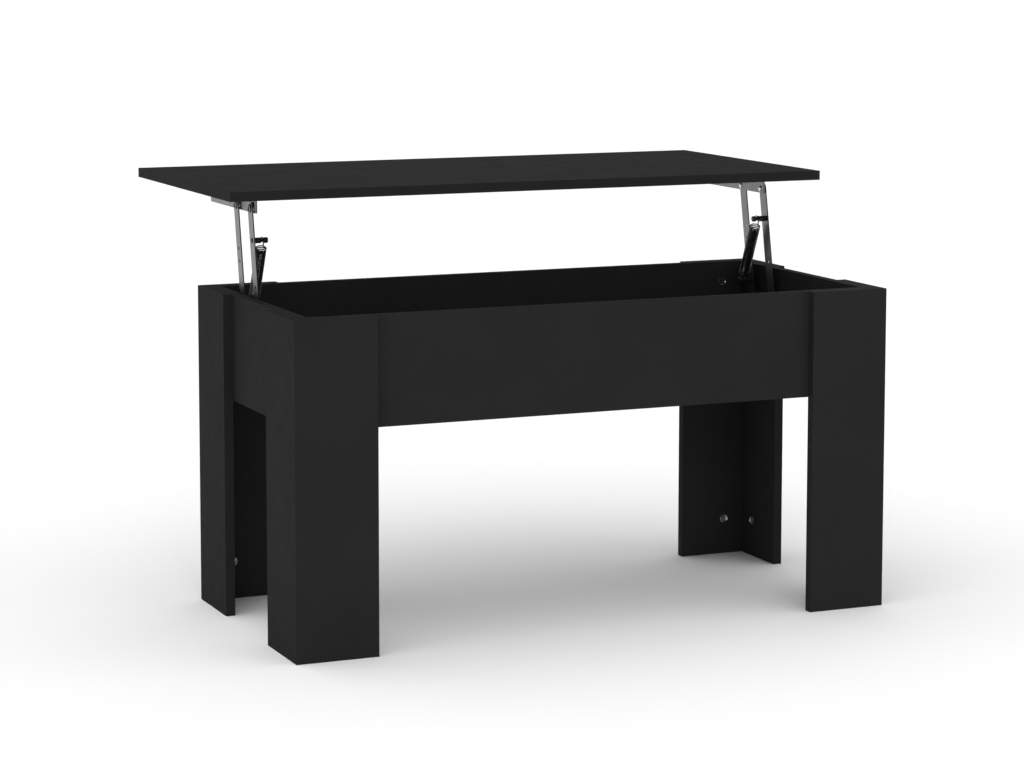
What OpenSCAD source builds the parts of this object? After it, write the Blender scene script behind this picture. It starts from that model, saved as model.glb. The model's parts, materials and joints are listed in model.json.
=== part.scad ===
// Lift top coffee table, drawn with its top raised and swung back on its stops.
// Millimetres, +Z up, feet on the plane z = 0. Front is -Y, and the top travels toward +Y.
// Every piece is its own module, and left and right pieces mirror each other about x = 0.

/* [Leg frame] */
// length of the frame over the legs
frame_length = 980; // [600:10:1400]
// depth of the frame over the legs
frame_depth = 460; // [350:10:700]
// height of the legs and of the storage box rim
frame_height = 505; // [350:5:600]
// thickness of every board
board_thick = 15; // [12:1:25]
// width of each leg panel, measured over the outside of the corner
leg_width = 129; // [80:1:180]

/* [Top board] */
// length of the top board
top_length = 1010; // [620:10:1450]
// depth of the top board
top_depth = 490; // [360:10:740]
// gap between the closed top and the rim
top_gap = 0.5; // [0.3:0.1:3]

/* [Storage box] */
// height of the box walls
wall_height = 165.5; // [120:0.5:260]
// step from the lower wall edges up to the underside of the box floor
floor_step = 6; // [0:1:30]

/* [Lift motion] */
// how far the top travels back from closed to raised
lift_back = 258; // [150:1:320]
// how far the top rises from closed to raised
lift_up = 150.5; // [100:0.5:220]
// lean of the raised arms, from +Y
raised_angle = 79; // [65:1:89]

/* [Lift arms] */
// thickness of the sheet steel of arms and brackets
sheet = 2; // [1.5:0.5:4]
// width of an arm
arm_width = 21; // [16:0.5:30]
// distance from the middle of the table to an arm's inner face
arm_inner = 444.6; // [300:0.1:600]
// y of the front arm's base pivot, from the middle of the frame
base_pivot_y = 54.3; // [0:0.1:90]
// spacing between the front and the rear arm's pivots
pivot_spacing = 68.7; // [60:0.1:120]
// depth of the top pivots under the top board
pivot_drop = 18.9; // [14:0.1:30]
// diameter of the pivot rivets
rivet_d = 8; // [5:0.5:10]
// running clearance between a rivet and its arm, on the radius
running_fit = 0.05; // [0.02:0.01:0.1]
// diameter of the spare holes in the arms
spare_hole_d = 4.5; // [3:0.5:6]

/* [Springs] */
// distance from the base pivot to the stud on the front arm
upper_stud_at = 176.5; // [100:0.5:200]
// distance from the base pivot to the stud on the rear arm
lower_stud_at = 67.5; // [40:0.5:100]
// outer diameter of a spring
spring_d = 17.6; // [12:0.2:22]
// radius of a spring's hooks, to the middle of the wire
hook_r = 7; // [5:0.5:9]
// wire diameter of a spring
wire_d = 2; // [1.2:0.1:3]
// distance from the middle of the table to a spring
spring_x = 430; // [300:1:600]
// diameter of a stud where its spring hooks on
stud_neck_d = 6; // [4:0.5:8]

/* [Top brackets] */
// length of a top bracket
top_bracket_length = 222; // [150:1:300]
// distance from the front end of a top bracket to its first pivot
top_bracket_front = 13.4; // [10:0.1:40]
// height of a top bracket
top_bracket_height = 26; // [24:1:40]
// width of the flange that is screwed to the top board
top_flange = 22.8; // [15:0.1:40]
// width of the bent lip at a top bracket's front end
top_lip = 4; // [3:0.5:12]

/* [Base brackets] */
// y of a base bracket's front end, from the middle of the frame
base_bracket_y = 22; // [0:1:60]
// length of a base bracket
base_bracket_length = 136; // [100:1:220]
// height of the middle of a base bracket
base_bracket_height = 60; // [40:1:90]
// width of the lips that are screwed to the wall
base_lip = 16; // [12:1:30]

/* [Fittings] */
// diameter of a cam
cam_d = 15; // [12:1:20]
// depth of a cam
cam_depth = 12.5; // [10:0.5:13]
// distance from a board's end to the middle of its cams
cam_set = 34; // [24:1:40]
// diameter of the cam bolts and mitre connectors
bolt_d = 6; // [4:0.5:8]
// diameter of a wooden dowel
dowel_d = 8; // [5:1:10]
// length of a wooden dowel
dowel_length = 28; // [16:1:40]
// shank diameter of the chipboard screws
screw_d = 4; // [3:0.5:5]
// head diameter of the chipboard screws
screw_head_d = 8; // [6:0.5:10]

/* [Which piece] */
// one piece alone, or all of them

/* [Hidden] */
$fn = 64;
// clearance of fixed fittings in their holes
fit = 0.05;
// gap kept between pieces that move past each other
gap = 0.3;
// y of the frame's middle, so that the raised table is centred on the origin
frame_y = -lift_back / 2 - (top_depth - frame_depth) / 4;
half_length = frame_length / 2;
half_depth = frame_depth / 2;
box_half_length = half_length - board_thick;
box_half_depth = half_depth - board_thick;
inner_half_length = box_half_length - board_thick;
inner_half_depth = box_half_depth - board_thick;
wall_low = frame_height - wall_height;
floor_low = wall_low + floor_step;
floor_high = floor_low + board_thick;
// height of the raised top's underside
raised_z = frame_height + top_gap + lift_up;
// the arms' turn, and their length between pivots, both set by the top's travel
lift_chord = sqrt(lift_back * lift_back + lift_up * lift_up);
middle_angle = atan2(lift_up, lift_back) + 90;
lift_turn = 2 * (middle_angle - raised_angle);
arm_reach = lift_chord / (2 * sin(lift_turn / 2));
top_pivot_z = raised_z - pivot_drop;
base_pivot_z = top_pivot_z - arm_reach * sin(raised_angle);
top_pivot_y = base_pivot_y + arm_reach * cos(raised_angle);
arm_outer = arm_inner + sheet;
// the top brackets stand inside the arms, and the base brackets outside them
top_plate_outer = arm_inner - 1.8;
top_plate_inner = top_plate_outer - sheet;
base_plate_inner = arm_outer + 2.4;
base_plate_outer = base_plate_inner + sheet;
base_plate_low = base_pivot_z + 0.6 - base_bracket_height / 2;
base_plate_high = base_plate_low + base_bracket_height;
rivet_head_d = 14;
stop_pin_d = 6;
stop_pin_at = 26;
// the spring runs from the stud on the rear arm to the stud on the front arm
lower_stud_y = base_pivot_y + pivot_spacing + lower_stud_at * cos(raised_angle);
lower_stud_z = base_pivot_z + lower_stud_at * sin(raised_angle);
upper_stud_y = base_pivot_y + upper_stud_at * cos(raised_angle);
upper_stud_z = base_pivot_z + upper_stud_at * sin(raised_angle);
spring_rise = upper_stud_z - lower_stud_z;
spring_run = upper_stud_y - lower_stud_y;
spring_length = sqrt(spring_rise * spring_rise + spring_run * spring_run);
spring_angle = atan2(spring_rise, spring_run);
wire_r = wire_d / 2;
coil_r = spring_d / 2 - wire_r;
hook_shift = hook_r - wire_r - stud_neck_d / 2 - gap;
hook_end = hook_shift + hook_r;
coil_pitch = wire_d * 0.95;
elbow_d = bolt_d * 1.5;
elbow_height = bolt_d + 2;
coil_start = hook_end + wire_r + gap;
coil_turns = floor((spring_length - hook_end - gap - wire_d - coil_start) / coil_pitch);
// the lower hook's stem reaches this far into the coil, and ends in a small head
stem_end = hook_end + 14;
stem_head_d = 7;
// rows of fittings
leg_cam_low = 60;
leg_cam_high = 445;
wall_cam_low = 388;
wall_cam_high = 472;
wall_dowel_z = 430;
floor_cam_x = 300;
leg_screw_low = 380;
leg_screw_high = 420;
leg_screw_x = 400;
leg_screw_y = 180;
base_screw_front = 18;
base_screw_rear = 118;
top_screw_first = 36;
top_screw_step = 50;

// ---- helpers ----

// moves a piece drawn about the frame's middle to its place
module in_frame() {
  translate([0, frame_y, 0]) children();
}

module board(low, high) {
  translate(low) cube(high - low);
}

// a rod along +X from the given point
module rod_x(from, d, length) {
  translate(from) rotate([0, 90, 0]) cylinder(d = d, h = length);
}

// a rod along +Y from the given point
module rod_y(from, d, length) {
  translate(from) rotate([-90, 0, 0]) cylinder(d = d, h = length);
}

// the four corners of the frame, from children drawn at the front left corner
module corner(right, back) {
  mirror([right, 0, 0]) mirror([0, back, 0]) children();
}

module both_sides() {
  children();
  mirror([1, 0, 0]) children();
}

module all_corners() {
  for (right = [0, 1]) for (back = [0, 1]) corner(right, back) children();
}

// ---- leg panels, drawn at the front left corner and meeting in a mitre ----

module leg_face_body() {
  linear_extrude(frame_height) polygon([
    [-half_length, -half_depth],
    [-half_length + leg_width, -half_depth],
    [-half_length + leg_width, -half_depth + board_thick],
    [-half_length + board_thick, -half_depth + board_thick]
  ]);
}

module leg_side_body() {
  linear_extrude(frame_height) polygon([
    [-half_length, -half_depth],
    [-half_length + board_thick, -half_depth + board_thick],
    [-half_length + board_thick, -half_depth + leg_width],
    [-half_length, -half_depth + leg_width]
  ]);
}

// one elbow: a hinge barrel in the middle of the mitre, and a rod into each panel
module mitre_elbow(z, slack) {
  elbow = [-half_length + board_thick / 2, -half_depth + board_thick / 2, z];
  reach = cam_set + board_thick / 2 - 2 + slack;
  translate(elbow - [0, 0, elbow_height / 2 + slack])
    cylinder(d = elbow_d + 2 * slack, h = elbow_height + 2 * slack);
  rod_x(elbow, bolt_d + 2 * slack, reach);
  rod_y(elbow, bolt_d + 2 * slack, reach);
}

module face_cam_pocket(z, slack) {
  rod_y([-box_half_length + cam_set, -box_half_depth - cam_depth, z], cam_d + 2 * slack, cam_depth + slack);
}

module side_cam_pocket(z, slack) {
  rod_x([-box_half_length - cam_depth, -box_half_depth + cam_set, z], cam_d + 2 * slack, cam_depth + slack);
}

// slot for a screwdriver, cut in the face of a cam
module face_cam_slot(z) {
  translate([-box_half_length + cam_set, -box_half_depth, z]) {
    cube([7, 3, 1.6], center = true);
    cube([1.6, 3, 7], center = true);
  }
}

module side_cam_slot(z) {
  translate([-box_half_length, -box_half_depth + cam_set, z]) {
    cube([3, 7, 1.6], center = true);
    cube([3, 1.6, 7], center = true);
  }
}

// screw holes through wall and leg, for a face panel and for a side panel
module face_screw_holes() {
  for (z = [leg_screw_low, leg_screw_high])
    rod_y([-leg_screw_x, -half_depth + 3 - fit, z], screw_d + 2 * fit, 2 * board_thick);
}

module side_screw_holes() {
  for (z = [leg_screw_low, leg_screw_high])
    rod_x([-half_length + 3 - fit, -leg_screw_y, z], screw_d + 2 * fit, 2 * board_thick);
}

module leg_face(right, back) {
  color("#2b2a2b") in_frame() corner(right, back) difference() {
    leg_face_body();
    for (z = [leg_cam_low, leg_cam_high]) {
      face_cam_pocket(z, fit);
      mitre_elbow(z, fit);
    }
    face_screw_holes();
  }
}

module leg_side(right, back) {
  color("#2b2a2b") in_frame() corner(right, back) difference() {
    leg_side_body();
    for (z = [leg_cam_low, leg_cam_high]) {
      side_cam_pocket(z, fit);
      mitre_elbow(z, fit);
    }
    side_screw_holes();
  }
}

module front_left_leg_face() { leg_face(0, 0); }
module front_left_leg_side() { leg_side(0, 0); }
module front_right_leg_face() { leg_face(1, 0); }
module front_right_leg_side() { leg_side(1, 0); }
module back_left_leg_face() { leg_face(0, 1); }
module back_left_leg_side() { leg_side(0, 1); }
module back_right_leg_face() { leg_face(1, 1); }
module back_right_leg_side() { leg_side(1, 1); }

module leg_cams() {
  color("#b9bbbd") in_frame() all_corners() for (z = [leg_cam_low, leg_cam_high]) {
    difference() {
      face_cam_pocket(z, 0);
      mitre_elbow(z, fit);
      face_cam_slot(z);
    }
    difference() {
      side_cam_pocket(z, 0);
      mitre_elbow(z, fit);
      side_cam_slot(z);
    }
  }
}

module leg_mitre_connectors() {
  color("#b9bbbd") in_frame() all_corners() for (z = [leg_cam_low, leg_cam_high]) mitre_elbow(z, 0);
}

// one countersunk screw along -Y or -X, its head flush with the box's inner face
module leg_screw() {
  cylinder(d = screw_d, h = 2 * board_thick - 3);
  cylinder(d1 = screw_head_d, d2 = screw_d, h = 2.5);
}

module leg_screw_places(right, back) {
  corner(right, back) for (z = [leg_screw_low, leg_screw_high]) {
    translate([-leg_screw_x, -inner_half_depth, z]) rotate([90, 0, 0]) children();
    translate([-inner_half_length, -leg_screw_y, z]) rotate([0, -90, 0]) children();
  }
}

module leg_screws() {
  color("#8f9193") in_frame() for (right = [0, 1]) for (back = [0, 1])
    leg_screw_places(right, back) leg_screw();
}

// ---- storage box ----

// cam bolts and dowels that run along X from a side wall into a long wall
module wall_bolt(z, slack) {
  rod_x([-inner_half_length - 11 - slack, -inner_half_depth - board_thick / 2, z],
        bolt_d + 2 * slack, cam_set + 9 + 2 * slack);
}

module wall_dowel(slack) {
  rod_x([-inner_half_length - dowel_length / 2 + 3 - slack, -inner_half_depth - board_thick / 2, wall_dowel_z],
        dowel_d + 2 * slack, dowel_length + 2 * slack);
}

module wall_cam_pocket(z, slack) {
  rod_y([-inner_half_length + cam_set, -inner_half_depth - cam_depth, z],
        cam_d + 2 * slack, cam_depth + slack);
}

module wall_cam_slot(z) {
  translate([-inner_half_length + cam_set, -inner_half_depth, z]) {
    cube([7, 3, 1.6], center = true);
    cube([1.6, 3, 7], center = true);
  }
}

// cams and bolts that hold the box floor to a long wall, from underneath
module floor_cam_pocket(x, slack) {
  translate([x, -inner_half_depth + cam_set, floor_low - slack])
    cylinder(d = cam_d + 2 * slack, h = cam_depth + slack);
}

module floor_bolt(x, slack) {
  rod_y([x, -inner_half_depth - 11 - slack, (floor_low + floor_high) / 2],
        bolt_d + 2 * slack, cam_set + 9 + 2 * slack);
}

module floor_cam_slot(x) {
  translate([x, -inner_half_depth + cam_set, floor_low]) {
    cube([7, 1.6, 3], center = true);
    cube([1.6, 7, 3], center = true);
  }
}

module long_wall(back) {
  color("#2b2a2b") in_frame() corner(0, back) difference() {
    board([-inner_half_length, -box_half_depth, wall_low], [inner_half_length, -inner_half_depth, frame_height]);
    both_sides() {
      for (z = [wall_cam_low, wall_cam_high]) {
        wall_cam_pocket(z, fit);
        wall_bolt(z, fit);
      }
      wall_dowel(fit);
      face_screw_holes();
      for (z = [leg_screw_low, leg_screw_high])
        translate([-leg_screw_x, -inner_half_depth + fit, z]) rotate([90, 0, 0])
          cylinder(d1 = screw_head_d + 4 * fit, d2 = screw_d + 2 * fit, h = 2.5 + 2 * fit);
    }
    for (x = [-floor_cam_x, 0, floor_cam_x]) floor_bolt(x, fit);
  }
}

module front_wall() { long_wall(0); }
module back_wall() { long_wall(1); }

module side_wall(right) {
  color("#2b2a2b") in_frame() corner(right, 0) difference() {
    board([-box_half_length, -box_half_depth, wall_low], [-inner_half_length, box_half_depth, frame_height]);
    for (back = [0, 1]) corner(0, back) {
      for (z = [wall_cam_low, wall_cam_high]) wall_bolt(z, fit);
      wall_dowel(fit);
      side_screw_holes();
      for (z = [leg_screw_low, leg_screw_high])
        translate([-inner_half_length + fit, -leg_screw_y, z]) rotate([0, -90, 0])
          cylinder(d1 = screw_head_d + 4 * fit, d2 = screw_d + 2 * fit, h = 2.5 + 2 * fit);
    }
    base_screw_places() cylinder(d = screw_d + 2 * fit, h = 12 + fit);
  }
}

module left_wall() { side_wall(0); }
module right_wall() { side_wall(1); }

module box_floor() {
  color("#29282a") in_frame() difference() {
    board([-inner_half_length, -inner_half_depth, floor_low], [inner_half_length, inner_half_depth, floor_high]);
    for (back = [0, 1]) corner(0, back) for (x = [-floor_cam_x, 0, floor_cam_x]) {
      floor_cam_pocket(x, fit);
      floor_bolt(x, fit);
    }
  }
}

module wall_cams() {
  color("#b9bbbd") in_frame() all_corners() for (z = [wall_cam_low, wall_cam_high]) difference() {
    wall_cam_pocket(z, 0);
    wall_bolt(z, fit);
    wall_cam_slot(z);
  }
}

module wall_cam_bolts() {
  color("#b9bbbd") in_frame() all_corners() for (z = [wall_cam_low, wall_cam_high]) wall_bolt(z, 0);
}

module wall_dowels() {
  color("#c8ab7c") in_frame() all_corners() wall_dowel(0);
}

module floor_cams() {
  color("#b9bbbd") in_frame() for (back = [0, 1]) corner(0, back)
    for (x = [-floor_cam_x, 0, floor_cam_x]) difference() {
      floor_cam_pocket(x, 0);
      floor_bolt(x, fit);
      floor_cam_slot(x);
    }
}

module floor_cam_bolts() {
  color("#b9bbbd") in_frame() for (back = [0, 1]) corner(0, back)
    for (x = [-floor_cam_x, 0, floor_cam_x]) floor_bolt(x, 0);
}

// ---- lift mechanism, drawn for the left side ----

// places children along an arm, whose pivot is the local origin and whose length runs along +X
module along_arm(rear) {
  translate([0, base_pivot_y + rear * pivot_spacing, base_pivot_z])
    rotate([raised_angle, 0, 0]) children();
}

module arm_shape(rear, spares) {
  along_arm(rear) difference() {
    union() {
      translate([-arm_outer, 0, -arm_width / 2]) cube([sheet, arm_reach, arm_width]);
      rod_x([-arm_outer, 0, 0], arm_width, sheet);
      rod_x([-arm_outer, arm_reach, 0], arm_width, sheet);
    }
    rod_x([-arm_outer - 1, 0, 0], rivet_d + 2 * running_fit, sheet + 2);
    rod_x([-arm_outer - 1, arm_reach, 0], rivet_d + 2 * running_fit, sheet + 2);
    for (at = spares) rod_x([-arm_outer - 1, at, 0], spare_hole_d, sheet + 2);
    rod_x([-arm_outer - 1, rear == 1 ? lower_stud_at : upper_stud_at, 0], stud_neck_d + 2 * fit, sheet + 2);
  }
}

module front_arm(right) {
  color("#77797b") in_frame() corner(right, 0) arm_shape(0, [83, 104]);
}

module rear_arm(right) {
  color("#77797b") in_frame() corner(right, 0) arm_shape(1, [138, 158]);
}

module left_front_arm() { front_arm(0); }
module right_front_arm() { front_arm(1); }
module left_rear_arm() { rear_arm(0); }
module right_rear_arm() { rear_arm(1); }

// a shouldered stud with a neck for the spring, riveted through an arm
module stud(rear, at) {
  along_arm(rear) translate([0, at, 0]) {
    rod_x([-arm_outer, 0, 0], stud_neck_d, sheet);
    rod_x([-arm_outer - 1.2, 0, 0], stud_neck_d + 2, 1.2);
    rod_x([-arm_inner, 0, 0], 9, arm_inner - spring_x - 2.5);
    rod_x([-spring_x - 2.5, 0, 0], stud_neck_d, 5);
    rod_x([-spring_x + 2.5, 0, 0], 9, 5.9);
  }
}

module upper_stud(right) {
  color("#1c1c1d") in_frame() corner(right, 0) stud(0, upper_stud_at);
}

module lower_stud(right) {
  color("#1c1c1d") in_frame() corner(right, 0) stud(1, lower_stud_at);
}

module left_upper_stud() { upper_stud(0); }
module right_upper_stud() { upper_stud(1); }
module left_lower_stud() { lower_stud(0); }
module right_lower_stud() { lower_stud(1); }

// places children on the spring, whose lower stud is the local origin and whose length runs along +Z
module along_spring() {
  translate([-spring_x, lower_stud_y, lower_stud_z]) rotate([spring_angle - 90, 0, 0]) children();
}

// a hook loop round a stud: a ring in the arms' plane
module hook_loop() {
  translate([0, 0, hook_shift]) rotate([0, 90, 0])
    rotate_extrude() translate([hook_r, 0]) circle(r = wire_r);
}

// the close turns of a spring, drawn as one ribbed sleeve whose lower end closes in round the stem
module spring_coil(right) {
  color("#38393a") in_frame() corner(right, 0) along_spring()
    translate([0, 0, coil_start + wire_r]) rotate_extrude() {
      for (turn = [0 : coil_turns]) translate([coil_r, turn * coil_pitch]) circle(r = wire_r, $fn = 6);
      for (turn = [1 : 3]) translate([coil_r - turn * 0.75 * wire_d, 0]) circle(r = wire_r, $fn = 6);
    }
}

// the lower hook: its loop, and a headed stem inside the end of the coil
module lower_hook(right) {
  color("#38393a") in_frame() corner(right, 0) along_spring() {
    hook_loop();
    translate([0, 0, hook_end - wire_r / 2]) cylinder(d = wire_d, h = stem_end - hook_end);
    translate([0, 0, stem_end - wire_r]) cylinder(d = stem_head_d, h = wire_d);
  }
}

// the upper hook: its loop, and a bar out to one closing turn
module upper_hook(right) {
  color("#38393a") in_frame() corner(right, 0) along_spring()
    translate([0, 0, spring_length]) rotate([180, 0, 0]) {
      hook_loop();
      rod_x([0, 0, hook_end - wire_r], wire_d, coil_r);
    }
}

module left_spring_coil() { spring_coil(0); }
module right_spring_coil() { spring_coil(1); }
module left_lower_hook() { lower_hook(0); }
module right_lower_hook() { lower_hook(1); }
module left_upper_hook() { upper_hook(0); }
module right_upper_hook() { upper_hook(1); }

// a riveted pin: a shank with a formed head at each end
module rivet(y, z, inner, outer, inner_head, outer_head) {
  rod_x([-outer - outer_head, y, z], rivet_head_d, outer_head);
  rod_x([-outer, y, z], rivet_d, outer - inner);
  rod_x([-inner, y, z], rivet_head_d, inner_head);
}

module base_rivets(right) {
  color("#c9cbcd") in_frame() corner(right, 0)
    for (rear = [0, 1]) rivet(base_pivot_y + rear * pivot_spacing, base_pivot_z,
                              arm_inner - gap, base_plate_outer, 2.5, 2);
}

module top_rivets(right) {
  color("#c9cbcd") in_frame() corner(right, 0)
    for (rear = [0, 1]) rivet(top_pivot_y + rear * pivot_spacing, top_pivot_z,
                              top_plate_inner, arm_outer + gap, 2.2, 2.1);
}

module left_base_rivets() { base_rivets(0); }
module right_base_rivets() { base_rivets(1); }
module left_top_rivets() { top_rivets(0); }
module right_top_rivets() { top_rivets(1); }

// a flat washer along X between two planes
module washer(y, z, inner, outer) {
  difference() {
    rod_x([-outer, y, z], 18, outer - inner);
    rod_x([-outer - 1, y, z], rivet_d + 2 * fit, outer - inner + 2);
  }
}

module base_washers(right) {
  color("#b0b2b4") in_frame() corner(right, 0)
    for (rear = [0, 1]) washer(base_pivot_y + rear * pivot_spacing, base_pivot_z, arm_outer + gap, base_plate_inner);
}

module top_washers(right) {
  color("#b0b2b4") in_frame() corner(right, 0)
    for (rear = [0, 1]) intersection() {
      washer(top_pivot_y + rear * pivot_spacing, top_pivot_z, top_plate_outer, arm_inner - gap);
      board([-500, 0, raised_z - top_bracket_height], [0, 400, raised_z]);
    }
}

module left_base_washers() { base_washers(0); }
module right_base_washers() { base_washers(1); }
module left_top_washers() { top_washers(0); }
module right_top_washers() { top_washers(1); }

// ---- base bracket: a raised plate on two lips against the side wall ----

module base_screw_places() {
  for (y = [base_screw_front, base_screw_rear])
    for (z = [base_plate_low - base_lip / 2, base_plate_high + base_lip / 2])
      translate([-inner_half_length, base_bracket_y + y, z]) rotate([0, -90, 0]) children();
}

module base_bracket(right) {
  rear_end = base_bracket_y + base_bracket_length;
  color("#77797b") in_frame() corner(right, 0) difference() {
    union() {
      board([-base_plate_outer, base_bracket_y, base_plate_low], [-base_plate_inner, rear_end, base_plate_high]);
      board([-inner_half_length, base_bracket_y, base_plate_low],
            [-base_plate_inner, rear_end, base_plate_low + sheet]);
      board([-inner_half_length, base_bracket_y, base_plate_high - sheet],
            [-base_plate_inner, rear_end, base_plate_high]);
      board([-inner_half_length, base_bracket_y, base_plate_low - base_lip],
            [-inner_half_length + sheet, rear_end, base_plate_low + sheet]);
      board([-inner_half_length, base_bracket_y, base_plate_high - sheet],
            [-inner_half_length + sheet, rear_end, base_plate_high + base_lip]);
    }
    for (rear = [0, 1])
      rod_x([-base_plate_outer - 1, base_pivot_y + rear * pivot_spacing, base_pivot_z], rivet_d + 2 * fit, sheet + 2);
    stop_pin_rod(-base_plate_outer - 1, sheet + 2, stop_pin_d + 2 * fit);
    base_screw_places() translate([0, 0, -sheet - 1]) cylinder(d = screw_d + 2 * fit, h = sheet + 2);
  }
}

module left_base_bracket() { base_bracket(0); }
module right_base_bracket() { base_bracket(1); }

// pan head screws, drawn from the wall's inner face outward along +Z of the place
module base_screws(right) {
  color("#c9cbcd") in_frame() corner(right, 0) base_screw_places() {
    translate([0, 0, -sheet]) cylinder(d = screw_d, h = sheet + 12);
    translate([0, 0, -sheet - 2]) cylinder(d1 = screw_head_d - 2, d2 = screw_head_d, h = 2);
  }
}

module left_base_screws() { base_screws(0); }
module right_base_screws() { base_screws(1); }

// the pin that the raised rear arm leans on
module stop_pin_rod(x, length, d) {
  along_arm(1) rod_x([x, stop_pin_at, -arm_width / 2 - stop_pin_d / 2 - gap], d, length);
}

module stop_pin(right) {
  color("#c9cbcd") in_frame() corner(right, 0)
    stop_pin_rod(-base_plate_outer - 1.5, base_plate_outer + 1.5 - arm_inner + 2, stop_pin_d);
}

module left_stop_pin() { stop_pin(0); }
module right_stop_pin() { stop_pin(1); }

// ---- top bracket: an upright plate, a flange under the top board and a bent lip in front ----

module top_screw_places() {
  for (step = [0 : 3])
    translate([-top_plate_outer + 13.4, top_pivot_y - top_bracket_front + top_screw_first + step * top_screw_step,
               raised_z]) children();
}

module top_bracket(right) {
  front_end = top_pivot_y - top_bracket_front;
  rear_end = front_end + top_bracket_length;
  color("#77797b") in_frame() corner(right, 0) difference() {
    union() {
      board([-top_plate_outer, front_end, raised_z - top_bracket_height], [-top_plate_inner, rear_end, raised_z]);
      board([-top_plate_outer, front_end, raised_z - sheet], [-top_plate_outer + top_flange, rear_end, raised_z]);
      board([-top_plate_outer, front_end, raised_z - top_bracket_height + 2],
            [-top_plate_outer + top_lip, front_end + sheet, raised_z]);
    }
    for (rear = [0, 1])
      rod_x([-top_plate_outer - 1, top_pivot_y + rear * pivot_spacing, top_pivot_z], rivet_d + 2 * fit, sheet + 2);
    top_screw_places() translate([0, 0, -sheet - 1]) cylinder(d = screw_d + 2 * fit, h = sheet + 2);
  }
}

module left_top_bracket() { top_bracket(0); }
module right_top_bracket() { top_bracket(1); }

module top_screws(right) {
  color("#c9cbcd") in_frame() corner(right, 0) top_screw_places() {
    translate([0, 0, -sheet]) cylinder(d = screw_d, h = sheet + 12);
    translate([0, 0, -sheet - 2]) cylinder(d1 = screw_head_d - 2, d2 = screw_head_d, h = 2);
  }
}

module left_top_screws() { top_screws(0); }
module right_top_screws() { top_screws(1); }

// ---- top board ----

module top_board() {
  middle = lift_back;
  color("#303031") in_frame() difference() {
    board([-top_length / 2, middle - top_depth / 2, raised_z],
          [top_length / 2, middle + top_depth / 2, raised_z + board_thick]);
    both_sides() top_screw_places() translate([0, 0, -1]) cylinder(d = screw_d + 2 * fit, h = 13 + fit);
  }
}

// ---- every piece ----

top_board();
front_wall();
back_wall();
left_wall();
right_wall();
box_floor();
front_left_leg_face();
front_left_leg_side();
front_right_leg_face();
front_right_leg_side();
back_left_leg_face();
back_left_leg_side();
back_right_leg_face();
back_right_leg_side();
leg_cams();
leg_mitre_connectors();
leg_screws();
wall_cams();
wall_cam_bolts();
wall_dowels();
floor_cams();
floor_cam_bolts();
left_base_bracket();
right_base_bracket();
left_base_screws();
right_base_screws();
left_stop_pin();
right_stop_pin();
left_base_rivets();
right_base_rivets();
left_base_washers();
right_base_washers();
left_front_arm();
left_rear_arm();
right_front_arm();
right_rear_arm();
left_upper_stud();
left_lower_stud();
right_upper_stud();
right_lower_stud();
left_spring_coil();
right_spring_coil();
left_lower_hook();
right_lower_hook();
left_upper_hook();
right_upper_hook();
left_top_bracket();
right_top_bracket();
left_top_rivets();
right_top_rivets();
left_top_washers();
right_top_washers();
left_top_screws();
right_top_screws();
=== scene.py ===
"""Looks of the lift top coffee table: materials, edge bands, springs, rivets and screws, floor, lights and camera."""
import json
import math

import bmesh
import bpy
from mathutils import Matrix, Vector


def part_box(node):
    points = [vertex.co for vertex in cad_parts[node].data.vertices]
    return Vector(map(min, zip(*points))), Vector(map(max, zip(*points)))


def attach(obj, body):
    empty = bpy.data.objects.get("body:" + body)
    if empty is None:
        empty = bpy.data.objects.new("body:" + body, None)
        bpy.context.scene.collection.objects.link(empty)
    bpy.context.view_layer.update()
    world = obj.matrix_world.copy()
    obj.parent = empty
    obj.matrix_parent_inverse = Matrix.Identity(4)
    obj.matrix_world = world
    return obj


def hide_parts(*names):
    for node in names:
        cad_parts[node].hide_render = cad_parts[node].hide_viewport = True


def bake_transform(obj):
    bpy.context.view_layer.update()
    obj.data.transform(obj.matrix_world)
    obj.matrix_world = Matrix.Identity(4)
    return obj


MM = 0.001
SIDES = {"left": -1, "right": 1}
SHEET = 2 * MM  # thickness of the sheet steel
ARM_WIDTH = 21 * MM

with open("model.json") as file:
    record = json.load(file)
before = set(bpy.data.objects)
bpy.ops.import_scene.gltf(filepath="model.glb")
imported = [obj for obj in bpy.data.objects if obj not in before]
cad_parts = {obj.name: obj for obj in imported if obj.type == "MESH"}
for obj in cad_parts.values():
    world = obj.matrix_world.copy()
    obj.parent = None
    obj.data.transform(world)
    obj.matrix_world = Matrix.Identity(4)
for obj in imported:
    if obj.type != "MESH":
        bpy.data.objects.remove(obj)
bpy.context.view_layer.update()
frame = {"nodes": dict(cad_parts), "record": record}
nodes = frame["nodes"]


# ---- materials ----

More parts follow.
